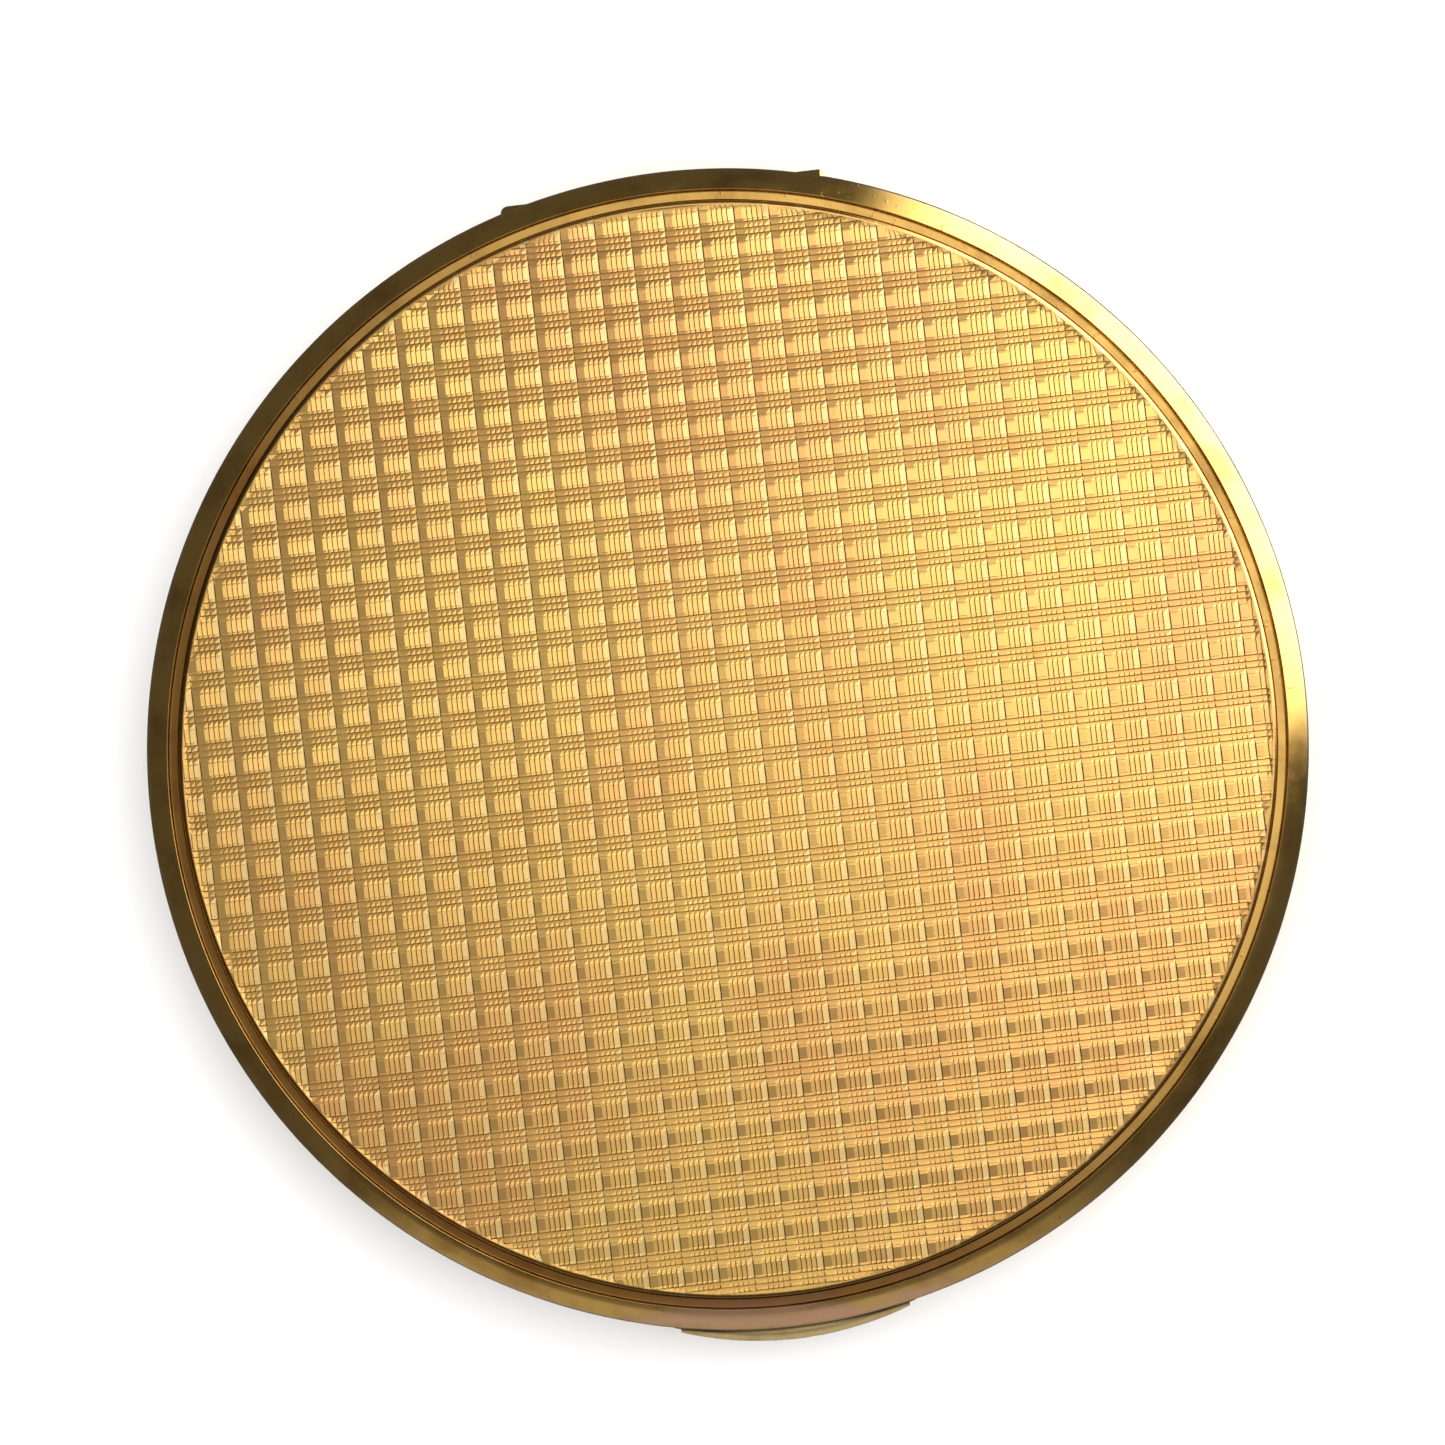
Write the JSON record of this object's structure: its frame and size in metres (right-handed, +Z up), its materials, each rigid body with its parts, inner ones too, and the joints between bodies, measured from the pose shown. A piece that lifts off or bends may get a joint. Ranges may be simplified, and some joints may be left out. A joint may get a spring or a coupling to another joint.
{
  "type": "powder compact",
  "caption": "Round gold-tone loose-powder compact with an engine-turned hinged lid, mirror, puff, sifter, self-raising inner lid and thumb press.",
  "frame": {"origin": "centre of the flat bottom face of the base", "axes": "+Z up through the lid, +Y to the hinge, -Y to the thumb press, +X to the right seen from above with the hinge away from the viewer"},
  "size_m": [0.08, 0.0813, 0.0139],
  "materials": {
    "gold_plate": "polished gold plate with light wear",
    "rim_gold": "polished gold plate, tarnished brown in the shade",
    "engine_turned_gold": "engine-turned gold plate",
    "worn_brass": "rubbed brass with an olive cast",
    "spring_steel": "brushed",
    "mirror": "silvered glass",
    "card": "matt",
    "gauze": "fine woven net",
    "puff_pile": "short soft pile",
    "satin": "satin weave"
  },
  "bodies": {
    "base_body": {"base_shell": "gold_plate", "deck_plate": "gold_plate", "powder_well": "gold_plate", "sifter_ring": "gold_plate", "sifter_gauze": "gauze", "puff_pad": "puff_pile", "puff_backing": "satin", "puff_ribbon": "satin", "base_hinge_leaf": "gold_plate", "hinge_pin": "spring_steel", "inner_hinge_bracket": "gold_plate", "inner_hinge_pin": "spring_steel", "inner_lid_spring": "spring_steel", "catch_bracket": "gold_plate", "return_spring": "spring_steel", "deck_rivets": "gold_plate"},
    "catch_body": {"thumb_press": "worn_brass", "latch_slide": "spring_steel", "latch_rivets": "gold_plate"},
    "lid_body": {"lid_frame": "rim_gold", "lid_panel": "engine_turned_gold", "lid_hinge_leaf": "gold_plate", "lid_strike": "spring_steel", "mirror_backing": "card", "mirror_glass": "mirror", "mirror_ring": "gold_plate"},
    "inner_lid_body": {"inner_lid": "gold_plate", "inner_hinge_leaf": "gold_plate", "inner_lid_tab": "gold_plate"}
  },
  "joints": [
    {"name": "lid_hinge", "type": "hinge", "parent": "base_body", "child": "lid_body", "pos_m": [0, 0.03815, 0.00705], "axis": [-1, 0, 0], "range_deg": [0, 110], "deforming": ["lid_strike"]},
    {"name": "inner_lid_hinge", "type": "hinge", "parent": "base_body", "child": "inner_lid_body", "pos_m": [0, 0.0294, 0.00716], "axis": [-1, 0, 0], "range_deg": [0, 55], "deforming": ["inner_lid_spring"]},
    {"name": "catch_press", "type": "slide", "parent": "base_body", "child": "catch_body", "axis": [0, 1, 0], "range_m": [0, 0.0008], "stiffness_N_per_m": 400, "springref_m": -0.0015, "deforming": ["return_spring"]}
  ],
  "couplings": [
    {"joint": "inner_lid_hinge", "follows": "lid_hinge", "ratio": 0.5}
  ]
}
